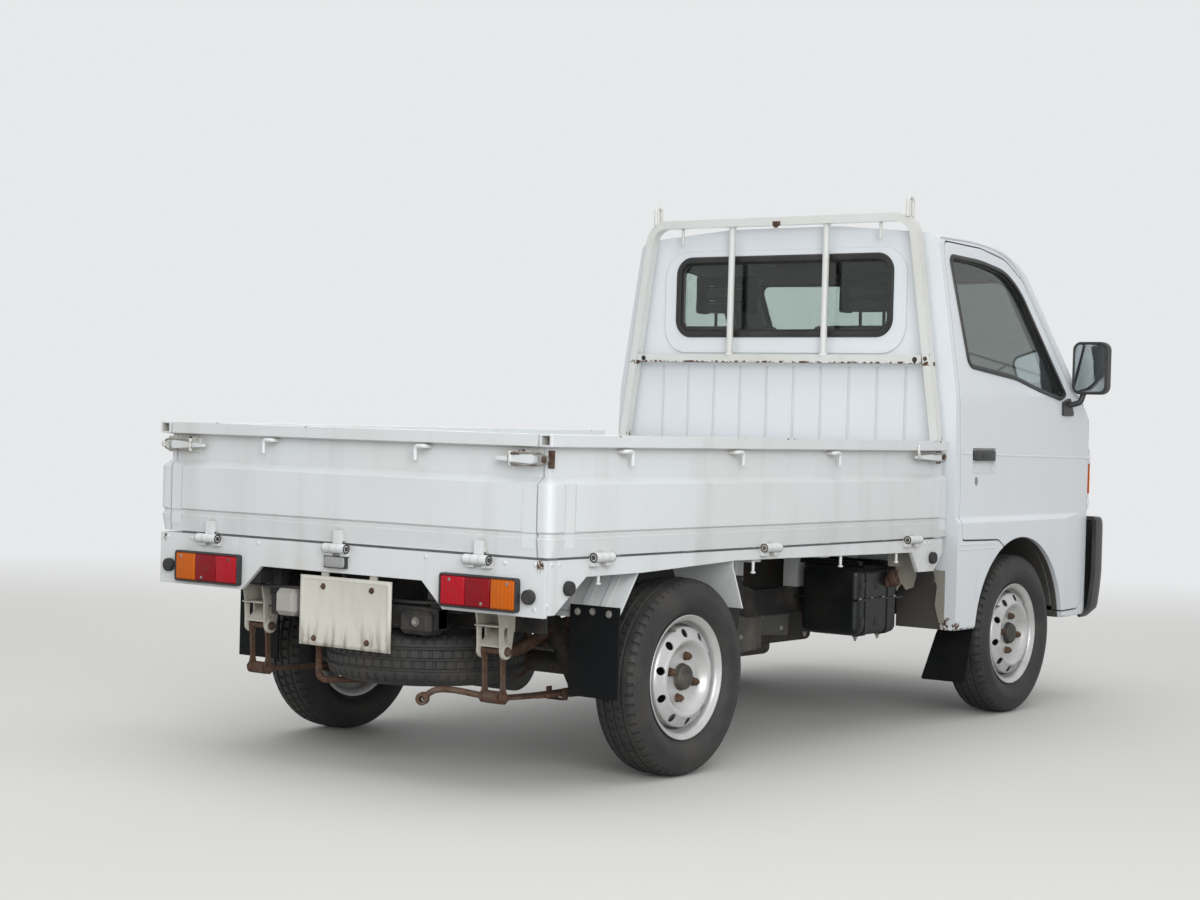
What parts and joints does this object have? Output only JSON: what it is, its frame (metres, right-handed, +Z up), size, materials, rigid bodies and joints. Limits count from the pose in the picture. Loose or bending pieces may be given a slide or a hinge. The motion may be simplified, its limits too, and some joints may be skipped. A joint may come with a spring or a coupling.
{
  "type": "kei truck",
  "caption": "Small cab-over pickup with a drop-side bed, guard frame behind the cab, hinged doors and gates, and steered front wheels.",
  "frame": {"origin": "on the ground, below the middle of the overall box", "axes": "+X forward, +Y to the left of the truck, +Z up"},
  "size_m": [3.295, 1.616, 1.6905],
  "materials": {
    "cab_white": "gloss white enamel, slightly cool",
    "bed_white": "white enamel, chipped and grimy in the grooves",
    "aged_white": "yellowed white enamel with rust at the edges",
    "glass": "tinted safety glass",
    "black_plastic": "grained black plastic",
    "clear_lens": "clear ribbed lens",
    "amber_lens": "amber ribbed lens",
    "red_lens": "red ribbed lens",
    "frame_black": "black underbody paint, dusty",
    "plate_white": "blank pressed plate, grimy",
    "rubber": "weathered black rubber",
    "tyre": "worn tread and sidewall",
    "wheel_silver": "silver wheel paint with brown grime",
    "cast_grey": "oily cast metal",
    "rusty_steel": "rusted steel",
    "seat_vinyl": "grey seat cloth and vinyl",
    "trim_grey": "grained grey trim"
  },
  "bodies": {
    "chassis": {"bed_floor": "bed_white", "bed_front_panel": "bed_white", "bed_sills": "bed_white", "cab_shell": "cab_white", "crossmembers": "frame_black", "dashboard": "trim_grey", "engine_block": "cast_grey", "exhaust": "rusty_steel", "frame_rails": "frame_black", "front_bumper": "black_plastic", "front_suspension": "frame_black", "fuel_tank": "frame_black", "guard_frame": "aged_white", "headlamps": "clear_lens", "indicators": "amber_lens", "leaf_springs": "rusty_steel", "mud_flaps": "rubber", "number_plate": "plate_white", "plate_lamp": "black_plastic", "prop_shaft": "rusty_steel", "rear_axle": "cast_grey", "rear_beam": "frame_black", "rear_skirt": "bed_white", "rear_window": "glass", "rubber_stops": "rubber", "seats": "seat_vinyl", "spare_carrier": "rusty_steel", "spare_rim": "wheel_silver", "spare_wheel": "tyre", "spring_hangers": "aged_white", "steering_column": "black_plastic", "tail_lamps": "red_lens", "wheelhouse_panels": "bed_white", "windscreen": "glass"},
    "door_right": {"door_right": "cab_white", "door_right_glass": "glass", "door_right_mirror": "black_plastic"},
    "door_left": {"door_left": "cab_white", "door_left_glass": "glass", "door_left_mirror": "black_plastic"},
    "tailgate": {"tailgate": "bed_white"},
    "side_gate_right": {"side_gate_right": "bed_white"},
    "side_gate_left": {"side_gate_left": "bed_white"},
    "wheel_rear_right": {"tyre_rear_right": "tyre", "rim_rear_right": "wheel_silver"},
    "wheel_rear_left": {"tyre_rear_left": "tyre", "rim_rear_left": "wheel_silver"},
    "knuckle_right": {"front_knuckle_right": "cast_grey"},
    "knuckle_left": {"front_knuckle_left": "cast_grey"},
    "wheel_front_right": {"tyre_front_right": "tyre", "rim_front_right": "wheel_silver"},
    "wheel_front_left": {"tyre_front_left": "tyre", "rim_front_left": "wheel_silver"},
    "steering_wheel": {"steering_wheel": "black_plastic"}
  },
  "joints": [
    {"name": "door_right_hinge", "type": "hinge", "parent": "chassis", "child": "door_right", "pos_m": [1.492, -0.661, 0.7], "axis": [0, 0, 1], "range_deg": [0, 65]},
    {"name": "door_left_hinge", "type": "hinge", "parent": "chassis", "child": "door_left", "pos_m": [1.492, 0.661, 0.7], "axis": [0, 0, -1], "range_deg": [0, 65]},
    {"name": "tailgate_hinge", "type": "hinge", "parent": "chassis", "child": "tailgate", "pos_m": [-1.635, 0, 0.592], "axis": [0, -1, 0], "range_deg": [0, 175]},
    {"name": "side_gate_right_hinge", "type": "hinge", "parent": "chassis", "child": "side_gate_right", "pos_m": [-0.632, -0.7, 0.603], "axis": [1, 0, 0], "range_deg": [0, 175]},
    {"name": "side_gate_left_hinge", "type": "hinge", "parent": "chassis", "child": "side_gate_left", "pos_m": [-0.632, 0.7, 0.603], "axis": [-1, 0, 0], "range_deg": [0, 175]},
    {"name": "wheel_rear_right_spin", "type": "hinge", "parent": "chassis", "child": "wheel_rear_right", "pos_m": [-0.963, -0.6, 0.265], "axis": [0, 1, 0], "continuous": true},
    {"name": "wheel_rear_left_spin", "type": "hinge", "parent": "chassis", "child": "wheel_rear_left", "pos_m": [-0.963, 0.6, 0.265], "axis": [0, 1, 0], "continuous": true},
    {"name": "steer_right", "type": "hinge", "parent": "chassis", "child": "knuckle_right", "pos_m": [0.942, -0.545, 0.265], "axis": [0, 0, 1], "range_deg": [-35, 35]},
    {"name": "steer_left", "type": "hinge", "parent": "chassis", "child": "knuckle_left", "pos_m": [0.942, 0.545, 0.265], "axis": [0, 0, 1], "range_deg": [-35, 35]},
    {"name": "wheel_front_right_spin", "type": "hinge", "parent": "knuckle_right", "child": "wheel_front_right", "pos_m": [0.942, -0.6025, 0.265], "axis": [0, 1, 0], "continuous": true},
    {"name": "wheel_front_left_spin", "type": "hinge", "parent": "knuckle_left", "child": "wheel_front_left", "pos_m": [0.942, 0.6025, 0.265], "axis": [0, 1, 0], "continuous": true},
    {"name": "steering_wheel_turn", "type": "hinge", "parent": "chassis", "child": "steering_wheel", "pos_m": [1.067, -0.29, 0.985], "axis": [-0.5, 0, 0.866], "range_deg": [-525, 525]}
  ],
  "couplings": [
    {"joint": "steer_left", "follows": "steer_right", "ratio": 1},
    {"joint": "steering_wheel_turn", "follows": "steer_right", "ratio": 15}
  ]
}
